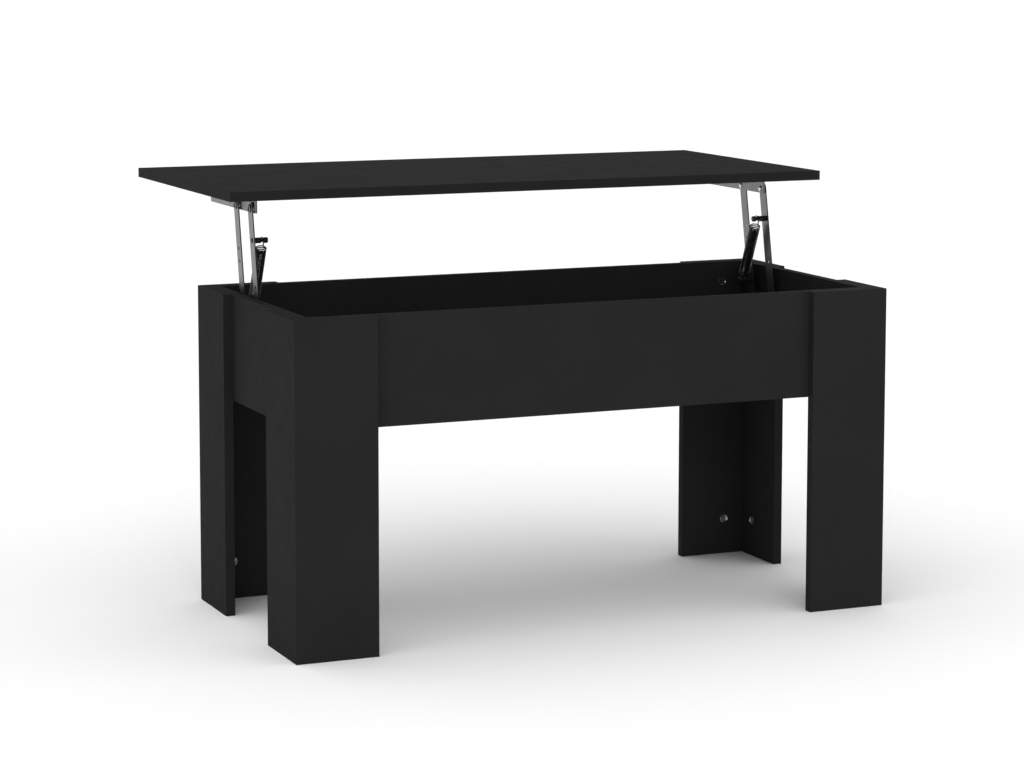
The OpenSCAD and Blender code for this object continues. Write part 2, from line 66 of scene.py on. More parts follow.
class Paint:
    """A node material with short ways to add textures to its one Principled shader."""

    def __init__(self, name):
        self.material = bpy.data.materials.new(name)
        self.material.use_nodes = True
        self.tree = self.material.node_tree
        self.shader = self.tree.nodes["Principled BSDF"]
        self.coords = self.tree.nodes.new("ShaderNodeTexCoord").outputs["Object"]

    def add(self, kind, **settings):
        node = self.tree.nodes.new(kind)
        for key, value in settings.items():
            if hasattr(node, key):
                setattr(node, key, value)
            else:
                node.inputs[key].default_value = value
        return node

    def link(self, a, b):
        self.tree.links.new(a, b)

    def noise(self, scale, detail=4.0, roughness=0.55, stretch=(1, 1, 1)):
        mapping = self.add("ShaderNodeMapping", Scale=stretch)
        self.link(self.coords, mapping.inputs["Vector"])
        node = self.add("ShaderNodeTexNoise", Scale=scale, Detail=detail, Roughness=roughness)
        self.link(mapping.outputs["Vector"], node.inputs["Vector"])
        return node.outputs["Fac"]

    def spread(self, value, low, high, start=0.3, end=0.7):
        node = self.add("ShaderNodeMapRange")
        node.inputs["From Min"].default_value = start
        node.inputs["From Max"].default_value = end
        node.inputs["To Min"].default_value = low
        node.inputs["To Max"].default_value = high
        self.link(value, node.inputs["Value"])
        return node.outputs["Result"]

    def colours(self, value, *stops):
        ramp = self.add("ShaderNodeValToRGB")
        points = ramp.color_ramp.elements
        while len(points) < len(stops):
            points.new(0.5)
        for point, (at, colour) in zip(points, stops):
            point.position = at
            point.color = (*colour, 1)
        self.link(value, ramp.inputs["Fac"])
        self.link(ramp.outputs["Color"], self.shader.inputs["Base Color"])

    def rough(self, value):
        self.link(value, self.shader.inputs["Roughness"])

    def bump(self, value, strength, depth, under=None):
        node = self.add("ShaderNodeBump", Strength=strength, Distance=depth)
        self.link(value, node.inputs["Height"])
        if under is not None:
            self.link(under, node.inputs["Normal"])
        return node.outputs["Normal"]

    def normal(self, value):
        self.link(value, self.shader.inputs["Normal"])


def shades(colour, spread):
    return [tuple(c * k for c in colour) for k in (1 - spread, 1, 1 + spread)]


def board_paint(name, colour, low, high, specular):
    paint = Paint(name)
    dark, middle, light = shades(colour, 0.07)
    cloud = paint.noise(9, 5, 0.6)
    pores = paint.noise(1400, 3, 0.6)
    paint.colours(cloud, (0.3, dark), (0.5, middle), (0.72, light))
    paint.rough(paint.spread(paint.noise(35, 4, 0.6), low, high))
    paint.normal(paint.bump(pores, 0.35, 0.00008))
    paint.shader.inputs["Specular IOR Level"].default_value = specular
    return paint.material


def metal_paint(name, colour, low, high, grain, stretch=(1, 1, 1), bump=0.12, metallic=1.0):
    paint = Paint(name)
    dark, middle, light = shades(colour, 0.12)
    paint.colours(paint.noise(60, 5, 0.65), (0.3, dark), (0.5, middle), (0.7, light))
    streaks = paint.noise(grain, 4, 0.6, stretch)
    paint.rough(paint.spread(streaks, low, high))
    paint.normal(paint.bump(streaks, bump, 0.00005))
    paint.shader.inputs["Metallic"].default_value = metallic
    return paint.material


def beech_paint():
    paint = Paint("beech")
    rings = paint.noise(260, 4, 0.6, (0.08, 1, 1))
    paint.colours(rings, (0.3, (0.42, 0.26, 0.12)), (0.52, (0.55, 0.37, 0.19)), (0.7, (0.62, 0.44, 0.25)))
    paint.rough(paint.spread(rings, 0.55, 0.72))
    paint.normal(paint.bump(rings, 0.3, 0.0001))
    return paint.material


def floor_paint():
    paint = Paint("studio_floor")
    paint.colours(paint.noise(0.5, 1), (0.2, (0.955, 0.955, 0.955)), (0.8, (0.965, 0.965, 0.965)))
    paint.shader.inputs["Roughness"].default_value = 0.9
    paint.shader.inputs["Specular IOR Level"].default_value = 0.05
    return paint.material


BOARD = board_paint("black_melamine", (0.0185, 0.0182, 0.0186), 0.62, 0.72, 0.018)
TOP_BOARD = board_paint("black_melamine_top", (0.0185, 0.0182, 0.0186), 0.68, 0.78, 0.02)
BAND = board_paint("black_edge_band", (0.0172, 0.017, 0.0174), 0.55, 0.64, 0.018)
STEEL = metal_paint("grey_sheet_steel", (0.2, 0.202, 0.205), 0.3, 0.44, 900, (1, 1, 0.12))
ZINC = metal_paint("bright_zinc", (0.68, 0.685, 0.7), 0.2, 0.34, 500, bump=0.08)
CAM_ZINC = metal_paint("cast_zinc", (0.6, 0.6, 0.61), 0.22, 0.36, 420, bump=0.14)
SPRING = metal_paint("dark_spring_wire", (0.13, 0.13, 0.134), 0.22, 0.34, 700, bump=0.1)
STUD = metal_paint("black_oxide", (0.022, 0.022, 0.023), 0.3, 0.45, 500, bump=0.1, metallic=0.6)
BEECH = beech_paint()

SLOT_PAINT = {
    "black_board": BOARD,
    "grey_steel": STEEL,
    "zinc_fittings": ZINC,
    "spring_steel": SPRING,
    "black_steel": STUD,
    "beech": BEECH,
}


# ---- modifiers ----

def edge_smoother():
    """A node group that shades smooth and keeps edges over 30 degrees sharp."""
    group = bpy.data.node_groups.new("smooth_by_angle", "GeometryNodeTree")
    group.interface.new_socket("Geometry", in_out="INPUT", socket_type="NodeSocketGeometry")
    group.interface.new_socket("Geometry", in_out="OUTPUT", socket_type="NodeSocketGeometry")
    new, link = group.nodes.new, group.links.new
    inside, outside = new("NodeGroupInput"), new("NodeGroupOutput")
    faces, edges = new("GeometryNodeSetShadeSmooth"), new("GeometryNodeSetShadeSmooth")
    faces.domain, edges.domain = "FACE", "EDGE"
    edges.inputs["Shade Smooth"].default_value = False
    angle, compare = new("GeometryNodeInputMeshEdgeAngle"), new("FunctionNodeCompare")
    compare.data_type, compare.operation = "FLOAT", "GREATER_THAN"
    compare.inputs["B"].default_value = math.radians(30)
    link(angle.outputs["Unsigned Angle"], compare.inputs["A"])
    link(compare.outputs["Result"], edges.inputs["Selection"])
    link(inside.outputs["Geometry"], faces.inputs["Geometry"])
    link(faces.outputs["Geometry"], edges.inputs["Geometry"])
    link(edges.outputs["Geometry"], outside.inputs["Geometry"])
    return group


SMOOTHER = edge_smoother()


def soften(piece, width=0.0):
    """Welds the piece's mesh, rounds its edges by width and shades it smooth between sharp edges."""
    weld = piece.modifiers.new("weld", "WELD")
    weld.merge_threshold = 0.000002
    if width:
        bevel = piece.modifiers.new("bevel", "BEVEL")
        bevel.width = width
        bevel.segments = 2
        bevel.limit_method = "ANGLE"
        bevel.angle_limit = math.radians(40)
        bevel.use_clamp_overlap = False
    smooth = piece.modifiers.new("smooth", "NODES")
    smooth.node_group = SMOOTHER
    if width:
        flat = piece.modifiers.new("flat_faces", "WEIGHTED_NORMAL")
        flat.mode = "FACE_AREA_WITH_ANGLE"
        flat.weight = 70
        flat.keep_sharp = True


slots = {s["node"]: s["material_slot"] for s in frame["record"]["subparts"]}
for name, piece in nodes.items():
    material = TOP_BOARD if name == "top_board" else SLOT_PAINT[slots[name]]
    piece.data.materials.clear()
    piece.data.materials.append(material)
    piece.data.normals_split_custom_set([(0, 0, 0)] * len(piece.data.loops))
    soften(piece)


# ---- building blocks for pieces made here ----

def piece_from(name, vertices, faces, material, body, replaced=(), bevel=0.0):
    """A piece of the given mesh and material, which rides on body (unless None) and replaces the given CAD nodes."""
    mesh = bpy.data.meshes.new(name)
    mesh.from_pydata([tuple(v) for v in vertices], [], faces)
    made = bmesh.new()
    made.from_mesh(mesh)
    bmesh.ops.recalc_face_normals(made, faces=made.faces)
    made.to_mesh(mesh)
    made.free()
    piece = bpy.data.objects.new(name, mesh)
    bpy.context.scene.collection.objects.link(piece)
    mesh.materials.append(material)
    soften(piece, bevel)
    if body:
        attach(piece, body)
    if replaced:
        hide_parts(*replaced)
    return piece


def prism(name, outline, low, high, body):
    """An upright prism over a flat outline, for a strip of edge band."""
    count = len(outline)
    vertices = [(x, y, z) for z in (low, high) for x, y in outline]
    faces = [tuple(range(count)), tuple(range(count, 2 * count))]
    faces += [(i, (i + 1) % count, (i + 1) % count + count, i + count) for i in range(count)]
    return piece_from(name, vertices, faces, BAND, body, bevel=0.08 * MM)


def block(name, low, high, body):
    """A strip of edge band that fills the box from low to high."""
    outline = [(low[0], low[1]), (high[0], low[1]), (high[0], high[1]), (low[0], high[1])]
    return prism(name, outline, low[2], high[2], body)


def turned(profile, steps=36):
    """Vertices and faces of a profile of (radius, height) pairs turned about +Z, closed at both ends."""
    vertices, faces = [], []
    for radius, height in profile:
        for i in range(steps):
            a = 2 * math.pi * i / steps
            vertices.append(Vector((radius * math.cos(a), radius * math.sin(a), height)))
    for ring in range(len(profile) - 1):
        for i in range(steps):
            j = (i + 1) % steps
            faces.append((ring * steps + i, ring * steps + j, (ring + 1) * steps + j, (ring + 1) * steps + i))
    if profile[0] != profile[-1]:
        faces.append(tuple(range(steps)))
        faces.append(tuple(range((len(profile) - 1) * steps, len(profile) * steps)))
    return vertices, faces


def drilled_plate(name, length, holes, place, body, replaced):
    """An arm: a round-ended flat bar along +u with holes (u, radius) and rounded edges.

    place maps a point's run, breadth and height (u, v, h) to the world.
    """
    radius, edge, half, hole_steps = ARM_WIDTH / 2, 0.3 * MM, 28, 32

    def outline(inset):
        r = radius - inset
        ends = [(length, -math.pi / 2), (0.0, math.pi / 2)]
        return [(u + r * math.cos(start + math.pi * i / half), r * math.sin(start + math.pi * i / half))
                for u, start in ends for i in range(half + 1)]

    def ring(u, r, inset):
        return [(u + (r + inset) * math.cos(2 * math.pi * i / hole_steps),
                 (r + inset) * math.sin(2 * math.pi * i / hole_steps)) for i in range(hole_steps)]

    # heights through the plate, with how far the edge is drawn in at each
    levels = [(0, edge), (0.3 * edge, 0.3 * edge), (edge, 0), (SHEET - edge, 0), (SHEET - 0.3 * edge, 0.3 * edge),
              (SHEET, edge)]
    mesh = bmesh.new()
    caps = [[], []]
    for shape in [outline] + [lambda inset, u=u, r=r: ring(u, r, inset) for u, r in holes]:
        rings = [[mesh.verts.new(place(u, v, h)) for u, v in shape(inset)] for h, inset in levels]
        for low, high in zip(rings, rings[1:]):
            for i in range(len(low)):
                j = (i + 1) % len(low)
                mesh.faces.new((low[i], low[j], high[j], high[i]))
        for cap, verts in ((0, rings[0]), (1, rings[-1])):
            for i in range(len(verts)):
                caps[cap].append(mesh.edges.get((verts[i], verts[(i + 1) % len(verts)])))
    for cap in caps:
        bmesh.ops.triangle_fill(mesh, use_beauty=True, edges=cap)
    bmesh.ops.recalc_face_normals(mesh, faces=mesh.faces)
    data = bpy.data.meshes.new(name)
    mesh.to_mesh(data)
    mesh.free()
    data.materials.append(STEEL)
    piece = bpy.data.objects.new(name, data)
    bpy.context.scene.collection.objects.link(piece)
    soften(piece)
    flat = piece.modifiers.new("flat_faces", "WEIGHTED_NORMAL")
    flat.keep_sharp = True
    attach(piece, body)
    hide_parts(*replaced)


def bent_outline(points, radius):
    """The outline of a sheet bent along a run of points, with round bends of the given middle radius."""
    middle = []
    for i, p in enumerate(points):
        p = Vector(p)
        if i in (0, len(points) - 1):
            other = Vector(points[1] if i == 0 else points[-2])
            way = (other - p if i == 0 else p - other).normalized()
            middle.append((p, way))
            continue
        way_in = (p - Vector(points[i - 1])).normalized()
        way_out = (Vector(points[i + 1]) - p).normalized()
        centre = p - way_in * radius + way_out * radius
        for k in range(9):
            t = math.pi / 2 * k / 8
            middle.append((centre - way_out * radius * math.cos(t) + way_in * radius * math.sin(t),
                           way_in * math.cos(t) + way_out * math.sin(t)))
    left = [p + Vector((-w.y, w.x)) * SHEET / 2 for p, w in middle]
    right = [p - Vector((-w.y, w.x)) * SHEET / 2 for p, w in middle]
    return left + right[::-1]


def bent_sheet(name, points, radius, low, high, upright, sx, body, replaced):
    """Sheet steel bent along points: these are (x, z), run along Y from low to high, or if upright (x, y), along Z."""
    outline = bent_outline([(a * MM, b) for a, b in points], radius * MM)
    count = len(outline)
    place = (lambda p, q: (sx * p.x, p.y, q)) if upright else (lambda p, q: (sx * p.x, q, p.y))
    vertices = [place(p, q) for q in (low, high) for p in outline]
    faces = [tuple(range(count)), tuple(range(count, 2 * count))]
    faces += [(i, (i + 1) % count, (i + 1) % count + count, i + count) for i in range(count)]
    piece_from(name, vertices, faces, STEEL, body, replaced, bevel=0.22 * MM)


def tube(path, radius, sides=10):
    """Vertices, faces and the path index of each vertex, for a round wire along a path."""
    vertices, index, faces = [], [], []
    tangents = []
    for i in range(len(path)):
        before, after = path[max(i - 1, 0)], path[min(i + 1, len(path) - 1)]
        tangents.append((after - before).normalized())
    across = tangents[0].orthogonal().normalized()
    for i, point in enumerate(path):
        across = (across - tangents[i] * across.dot(tangents[i])).normalized()
        other = tangents[i].cross(across)
        ends = (0, len(path) - 1)
        rings = [0.55, 1.0] if i == ends[0] else [1.0, 0.55] if i == ends[1] else [1.0]
        for share in rings:
            for k in range(sides):
                a = 2 * math.pi * k / sides
                shift = (-0.35 if i == ends[0] else 0.35) * radius * (share < 1)
                vertices.append(point + (across * math.cos(a) + other * math.sin(a)) * radius * share
                                + tangents[i] * shift)
                index.append(i)
    rings = len(vertices) // sides
    for r in range(rings - 1):
        for k in range(sides):
            j = (k + 1) % sides
            faces.append((r * sides + k, r * sides + j, (r + 1) * sides + j, (r + 1) * sides + k))
    faces.append(tuple(range(sides)))
    faces.append(tuple(range((rings - 1) * sides, rings * sides)))
    return vertices, faces, index


# ---- edge bands: thin strips on the cut edges of the boards ----

BAND_THICK = 0.3 * MM  # of the edge bands
top_low, top_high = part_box("top_board")
x0, y0, z0 = top_low
x1, y1, z1 = top_high
block("top_band_front", (x0 - BAND_THICK, y0 - BAND_THICK, z0), (x1 + BAND_THICK, y0, z1), "top")
block("top_band_back", (x0 - BAND_THICK, y1, z0), (x1 + BAND_THICK, y1 + BAND_THICK, z1), "top")
block("top_band_left", (x0 - BAND_THICK, y0, z0), (x0, y1, z1), "top")
block("top_band_right", (x1, y0, z0), (x1 + BAND_THICK, y1, z1), "top")

for wall in ("front_wall", "back_wall", "left_wall", "right_wall"):
    low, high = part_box(wall)
    block(wall + "_band_top", (low.x, low.y, high.z), (high.x, high.y, high.z + BAND_THICK), "frame")
    block(wall + "_band_low", (low.x, low.y, low.z - BAND_THICK), (high.x, high.y, low.z), "frame")

for end, sy in (("front", -1), ("back", 1)):
    for side, sx in SIDES.items():
        name = f"{end}_{side}_leg_face"
        low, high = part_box(name)
        outer = low.x if sx < 0 else high.x
        inner = high.x if sx < 0 else low.x
        face, behind = (low.y, high.y) if sy < 0 else (high.y, low.y)
        thick = abs(behind - face)
        corner = [(outer, face), (inner, face), (inner, behind), (outer - sx * thick, behind)]
        prism(name + "_band_top", corner, high.z, high.z + BAND_THICK, "frame")
        edge = sorted((inner, inner - sx * BAND_THICK))
        block(name + "_band_edge", (edge[0], low.y, low.z), (edge[1], high.y, high.z), "frame")
        name = f"{end}_{side}_leg_side"
        low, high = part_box(name)
        outer = low.x if sx < 0 else high.x
        behind = high.x if sx < 0 else low.x
        face, inner = (low.y, high.y) if sy < 0 else (high.y, low.y)
        thick = abs(behind - outer)
        corner = [(outer, face), (outer, inner), (behind, inner), (behind, face - sy * thick)]
        prism(name + "_band_top", corner, high.z, high.z + BAND_THICK, "frame")
        edge = sorted((inner, inner - sy * BAND_THICK))
        block(name + "_band_edge", (low.x, edge[0], low.z), (high.x, edge[1], high.z), "frame")


# ---- springs: a wound wire from the upper stud down to a closed end, and a hook on the lower stud ----

WIRE = 1.0 * MM  # radius of the wire
COIL = 7.8 * MM  # radius of the turns, to the middle of the wire
HOOK = 7.0 * MM  # radius of the hooks
SHIFT = 2.7 * MM  # from a stud's axis to its hook's centre
SPRING_X = 430 * MM


def stud_axis(name):
    """The y and z of a stud's axis, with x left at 0."""
    low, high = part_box(name)
    return Vector((0, (low.y + high.y) / 2, (low.z + high.z) / 2))


def curve_between(p0, t0, p1, t1, count):
    """A smooth run of points from p0 leaving along t0 to p1 arriving along t1, without its two ends."""
    points = []
    for i in range(1, count):
        t = i / count
        a, b = 2 * t**3 - 3 * t**2 + 1, t**3 - 2 * t**2 + t
        c, d = -2 * t**3 + 3 * t**2, t**3 - t**2
        points.append(p0 * a + t0 * b + p1 * c + t1 * d)
    return points


def spring(side, sx):
    """One spring: its wire, wound between the studs of two bodies but riding on neither, and the lower hook with the
    head of its stem.
    """
    upper, lower = stud_axis(side + "_upper_stud"), stud_axis(side + "_lower_stud")
    upper.x = lower.x = sx * SPRING_X
    along = (lower - upper).normalized()
    x = Vector((1, 0, 0))
    n = x.cross(along)
    length = (lower - upper).length

    def at(s, angle, radius=COIL):
        return upper + along * s + (n * math.cos(angle) + x * math.sin(angle)) * radius

    # the coil runs up from its closed end, round the lower hook's stem, to the hook over the upper stud
    low_end, top_end = length - 12.3 * MM, 13.4 * MM
    closing_turns, closed_to = 1.5, 2.4 * MM
    per_turn, end_angle = 30, math.radians(115)
    turns, open_turns, open_pitch = 36.5, 3, 3.1 * MM
    pitch = (low_end - top_end - open_pitch * open_turns) / (turns - open_turns)
    path, place = [], []
    for i in range(int(closing_turns * per_turn)):
        t = i / (closing_turns * per_turn)
        ease = t * t * (3 - 2 * t)
        angle = end_angle + 2 * math.pi * (i / per_turn - closing_turns - turns)
        path.append(at(low_end, angle, closed_to + (COIL - closed_to) * ease))
        place.append(low_end)
    for i in range(int(turns * per_turn) + 1):
        turn = i / per_turn
        closed = min(turn, turns - open_turns)
        s = low_end - closed * pitch - max(turn - (turns - open_turns), 0) * open_pitch
        path.append(at(s, end_angle + 2 * math.pi * (turn - turns)))
        place.append(s)

    def hook(angle):
        return upper + along * (SHIFT + HOOK * math.cos(angle)) + n * (HOOK * math.sin(angle))

    start, swept = math.radians(-75), math.radians(-205)
    heading = (path[-1] - path[-2]).normalized()
    joined = (hook(start - 0.01) - hook(start)).normalized()
    bridge = curve_between(path[-1], heading * 9 * MM, hook(start), joined * 9 * MM, 14)
    hook_steps = 40
    rest = [hook(start + swept * i / hook_steps) for i in range(hook_steps + 1)]
    path += bridge + rest
    place += [top_end] * (len(bridge) + len(rest))
    vertices, faces, index = tube(path, WIRE)
    wire = piece_from(side + "_spring_wire", vertices, faces, SPRING, None,
                      (side + "_spring_coil", side + "_upper_hook"))
    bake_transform(wire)

    def low_loop(angle):
        return lower - along * (SHIFT + HOOK * math.cos(angle)) + n * (HOOK * math.sin(angle))

    # the loop is left open by 0.72 radians
    loop_steps = 48
    path = [low_loop(0.3 + (2 * math.pi - 0.72) * i / loop_steps) for i in range(loop_steps + 1)][::-1]
    neck = lower - along * 15 * MM
    path += curve_between(path[-1], (path[-1] - path[-2]).normalized() * 5 * MM, neck, -along * 6 * MM, 10)
    path += [neck - along * (i * MM) for i in range(0, 9)]
    vertices, faces, _ = tube(path, WIRE)
    piece_from(side + "_spring_low_hook", vertices, faces, SPRING, side + "_lower_hook",
               (side + "_lower_hook",))
    profile = [(0.4, 0), (2.2, 0.1), (3.2, 0.6), (3.2, 1.4), (2.2, 1.9), (0.4, 2.0)]
    vertices, faces = turned([(r * MM, h * MM) for r, h in profile])
    turn = (-along).to_track_quat("Z", "Y").to_matrix()
    origin = lower - along * 22.5 * MM
    piece_from(side + "_spring_stem_head", [turn @ v + origin for v in vertices], faces, SPRING,
               side + "_lower_hook")


for side, sx in SIDES.items():
    spring(side, sx)


# ---- lift arms, brackets, studs and stop pins ----

LEAN = math.radians(79)  # of the raised arms
PIVOT_HOLE, SPARE_HOLE, STUD_HOLE = 4.05, 2.25, 3.05  # radii, in mm
STUD_OUTER_END, STOP_PIN_OUTER_END = 447.8, 452.5  # x, in mm
# middle x of the sheet in each part of the brackets, in mm
TOP_PLATE, TOP_FLANGE_END, TOP_LIP_END = 441.8, 420, 438.8
BASE_PLATE, BASE_LIP = 450, 459
BASE_LIP_HEIGHT = 17 * MM
BEND, LIP_BEND = 2, 1.5  # radii of the bends, in mm
FRONT_EDGE = 3 * MM  # where the top bracket's sheet ends and its front lip begins


def arm(side, sx, end, holes):
    """One lift arm, with its pivot holes and the given holes (distance from the lower pivot, radius) in mm."""
    node = f"{side}_{end}_arm"
    low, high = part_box(node)
    # an arm's pivots lie half its width in from the ends of its box
    along = Vector((0, math.cos(LEAN), math.sin(LEAN)))
    across = Vector((0, -math.sin(LEAN), math.cos(LEAN)))
    pivot = Vector((0, low.y + ARM_WIDTH / 2, low.z + ARM_WIDTH / 2))
    length = (high.z - low.z - ARM_WIDTH) / math.sin(LEAN)
    inner = min(abs(low.x), abs(high.x))
    round_holes = [(0.0, PIVOT_HOLE * MM), (length, PIVOT_HOLE * MM)] + [(at * MM, r * MM) for at, r in holes]
    drilled_plate(node + "_plate", length, round_holes,
                  lambda u, v, h: pivot + along * u + across * v + Vector((sx * (inner + h), 0, 0)), node, (node,))


def cross_pin(name, node, profile, material, body, sx, outside):
    """A pin along X whose profile heights run inward from its outer end."""
    low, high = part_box(node)
    vertices, faces = turned([(r * MM, h * MM) for r, h in profile], 36)
    placed = [Vector((sx * (outside * MM - v.z), (low.y + high.y) / 2 + v.x, (low.z + high.z) / 2 + v.y))
              for v in vertices]
    piece_from(name, placed, faces, material, body, (node,))


STUD_PROFILE = [(0.4, 0), (3.3, 0.05), (3.85, 0.35), (4, 0.8), (4, 1.15), (2.95, 1.2), (2.95, 3.2), (4.2, 3.25),
                (4.5, 3.6), (4.5, 14.8), (4.2, 15.2), (3.2, 15.3), (3, 15.5), (3, 20.1), (3.2, 20.3), (4.2, 20.4),
                (4.5, 20.8), (4.5, 25.6), (4.15, 26.05), (3.6, 26.2), (0.4, 26.2)]
for side, sx in SIDES.items():
    arm(side, sx, "front", [(83, SPARE_HOLE), (104, SPARE_HOLE), (176.5, STUD_HOLE)])
    arm(side, sx, "rear", [(138, SPARE_HOLE), (158, SPARE_HOLE), (67.5, STUD_HOLE)])
    for level, end in (("upper", "front"), ("lower", "rear")):
        node = f"{side}_{level}_stud"
        cross_pin(node + "_pin", node, STUD_PROFILE, STUD, f"{side}_{end}_arm", sx, STUD_OUTER_END)
    cross_pin(side + "_stop_pin_turned", side + "_stop_pin",
              [(0.3, 0), (2.5, 0.02), (2.95, 0.5), (2.95, 9.3), (2.4, 9.88), (0.3, 9.9)],
              ZINC, "frame", sx, STOP_PIN_OUTER_END)

    node = side + "_top_bracket"
    low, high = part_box(node)
    flange = high.z - SHEET / 2
    bent_sheet(node + "_sheet", [(TOP_PLATE, low.z), (TOP_PLATE, flange), (TOP_FLANGE_END, flange)],
               BEND, low.y + FRONT_EDGE, high.y, False, sx, "top", (node,))
    lip = low.y + SHEET / 2
    bent_sheet(node + "_lip", [(TOP_PLATE, low.y + FRONT_EDGE), (TOP_PLATE, lip), (TOP_LIP_END, lip)],
               LIP_BEND, low.z, high.z - 2.2 * MM, True, sx, "top", (node,))
    node = side + "_base_bracket"
    low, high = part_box(node)
    web_low, web_high = low.z + BASE_LIP_HEIGHT, high.z - BASE_LIP_HEIGHT
    bent_sheet(node + "_sheet", [(BASE_LIP, low.z), (BASE_LIP, web_low), (BASE_PLATE, web_low), (BASE_PLATE, web_high),
                                 (BASE_LIP, web_high), (BASE_LIP, high.z)],
               BEND, low.y, high.y, False, sx, "frame", (node,))


# ---- rivets with domed heads ----

def rivet(name, x_inner, x_outer, inner_head, outer_head, y, z, sx, body, node):
    """A rivet along X with a domed inner head, a collar on its outer end and a dark pin end inside the collar."""

    def part(suffix, profile, material):
        vertices, faces = turned([(r * MM, h * MM) for r, h in profile], 40)
        placed = [Vector((sx * (x_inner * MM + v.z), y + v.x, z + v.y)) for v in vertices]
        piece_from(name + suffix, placed, faces, material, body, (node,))

    a, b, reach = inner_head, outer_head, x_outer - x_inner
    part("_head", [(0.5, -a + 0.1), (1.8, -a + 0.2), (3.6, -a + 0.65), (4.8, -a + 1.35), (5.3, -0.3), (5.3, 0),
                   (3.9, 0.05), (3.9, reach - 0.2), (0.5, reach - 0.2)], ZINC)
    part("_collar", [(4.3, reach + 0.05), (6.4, reach + 0.05), (6.7, reach + 0.35), (6.5, reach + b - 0.75),
                     (5.9, reach + b - 0.4), (5.0, reach + b - 0.45), (4.3, reach + b - 1.1), (4.3, reach + 0.05)],
         STEEL)
    part("_pin", [(0.3, reach - 0.15), (4.2, reach - 0.15), (4.2, reach + 0.5), (3.8, reach + 0.75),
                  (0.3, reach + 0.8)], STUD)


def pair_axes(node):
    """Centres of the two round fittings in a node, front and rear, from the box of both."""
    low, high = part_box(node)
    radius = (high.z - low.z) / 2
    return [("front", low.y + radius, (low.z + high.z) / 2), ("rear", high.y - radius, (low.z + high.z) / 2)]


# x where a rivet's inner and outer heads begin, and the heights of the two heads, in mm
TOP_RIVET = (440.8, 446.9, 2.2, 2.1)
BASE_RIVET = (444.3, 451.0, 2.5, 2.0)
for side, sx in SIDES.items():
    for end, y, z in pair_axes(side + "_top_rivets"):
        rivet(f"{side}_top_rivet_{end}", *TOP_RIVET, y, z, sx, "top", side + "_top_rivets")
    for end, y, z in pair_axes(side + "_base_rivets"):
        rivet(f"{side}_base_rivet_{end}", *BASE_RIVET, y, z, sx, "frame", side + "_base_rivets")


# ---- screws and cams with cross recesses ----

def recessed_mesh(name, profile, depth, span, width, material):
    """A turned fitting whose face is at the origin and which points along +Z, with a tapered cross cut in its face."""
    vertices, faces = turned([(r * MM, h * MM) for r, h in profile], 40)
    mesh = bpy.data.meshes.new(name)
    mesh.from_pydata([tuple(v) for v in vertices], [], faces)
    body = bmesh.new()
    body.from_mesh(mesh)
    bmesh.ops.recalc_face_normals(body, faces=body.faces)
    body.to_mesh(mesh)
    body.free()
    whole = bpy.data.objects.new(name, mesh)
    cross = bmesh.new()
    for turn in (0, math.pi / 2):
        made = bmesh.ops.create_cube(cross, size=1.0)["verts"]
        for v in made:
            deep = v.co.z > 0
            v.co.x *= (0.45 if deep else 1.0) * span * MM
            v.co.y *= (0.55 if deep else 1.0) * width * MM
            v.co.z = (depth if deep else -1.0) * MM
        bmesh.ops.rotate(cross, verts=made, cent=(0, 0, 0), matrix=Matrix.Rotation(turn, 3, "Z"))
    cutter_mesh = bpy.data.meshes.new(name + "_cross")
    cross.to_mesh(cutter_mesh)
    cross.free()
    cutter = bpy.data.objects.new(name + "_cross", cutter_mesh)
    for o in (whole, cutter):
        bpy.context.scene.collection.objects.link(o)
    cut = whole.modifiers.new("cross", "BOOLEAN")
    cut.operation, cut.solver, cut.object, cut.use_self = "DIFFERENCE", "EXACT", cutter, True
    bpy.context.view_layer.update()
    finished = bpy.data.meshes.new_from_object(whole.evaluated_get(bpy.context.evaluated_depsgraph_get()))
    finished.name = name
    for o in (whole, cutter):
        bpy.data.objects.remove(o)
    finished.materials.clear()
    finished.materials.append(material)
    return finished


def thread(start, end, radius, pitch=1.4):
    """Profile points of a threaded shank, as a row of shallow ridges, ending in a point."""
    points, h = [], start
    while h < end - 3:
        points += [(radius - 0.35, h), (radius, h + pitch * 0.35), (radius - 0.35, h + pitch * 0.7)]
        h += pitch
    return points + [(radius * 0.7, end - 2), (0.2, end)]


SHANK = 1.95  # radius of a screw's shank, in mm
PAN = recessed_mesh("pan_screw", [(0.3, 0.05), (2.2, 0.1), (3.3, 0.55), (3.9, 1.3), (4, 2), (SHANK, 2)]
                    + thread(2.2, 15.6, SHANK), 1.5, 4.4, 0.95, ZINC)
FLAT = recessed_mesh("flat_screw", [(0.3, 0.12), (3.8, 0.12), (3.95, 0.25), (SHANK, 2.4)]
                     + thread(2.6, 26.8, SHANK), 1.7, 4.6, 0.95, ZINC)
CAM = recessed_mesh("cam", [(0.3, 1.2), (4.9, 1.2), (5.3, 1), (5.7, 0.45), (6.1, 0.12), (6.5, 0.02), (6.9, 0.08),
                            (7.25, 0.35), (7.42, 0.8), (7.42, 12.4), (0.3, 12.4)], 3.6, 8.4, 1.7, CAM_ZINC)


def place(name, mesh, at, towards, body, node, turned_by=None):
    """Places a screw or cam; a screw is left at whatever angle it stopped at."""
    piece = bpy.data.objects.new(name, mesh)
    bpy.context.scene.collection.objects.link(piece)
    turn = Vector(towards).to_track_quat("Z", "Y").to_matrix().to_4x4()
    spin = len(name) * 0.7 + at[1] * 90 + at[2] * 40 if turned_by is None else turned_by
    piece.matrix_world = Matrix.Translation(at) @ turn @ Matrix.Rotation(spin, 4, "Z")
    soften(piece)
    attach(piece, body)
    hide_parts(node)


SCREW_HEAD = 4 * MM  # radius of a screw's head


def ends_of(low, high):
    """Where the first and last screw of a row stand, from the ends of the row's box."""
    return low + SCREW_HEAD, high - SCREW_HEAD


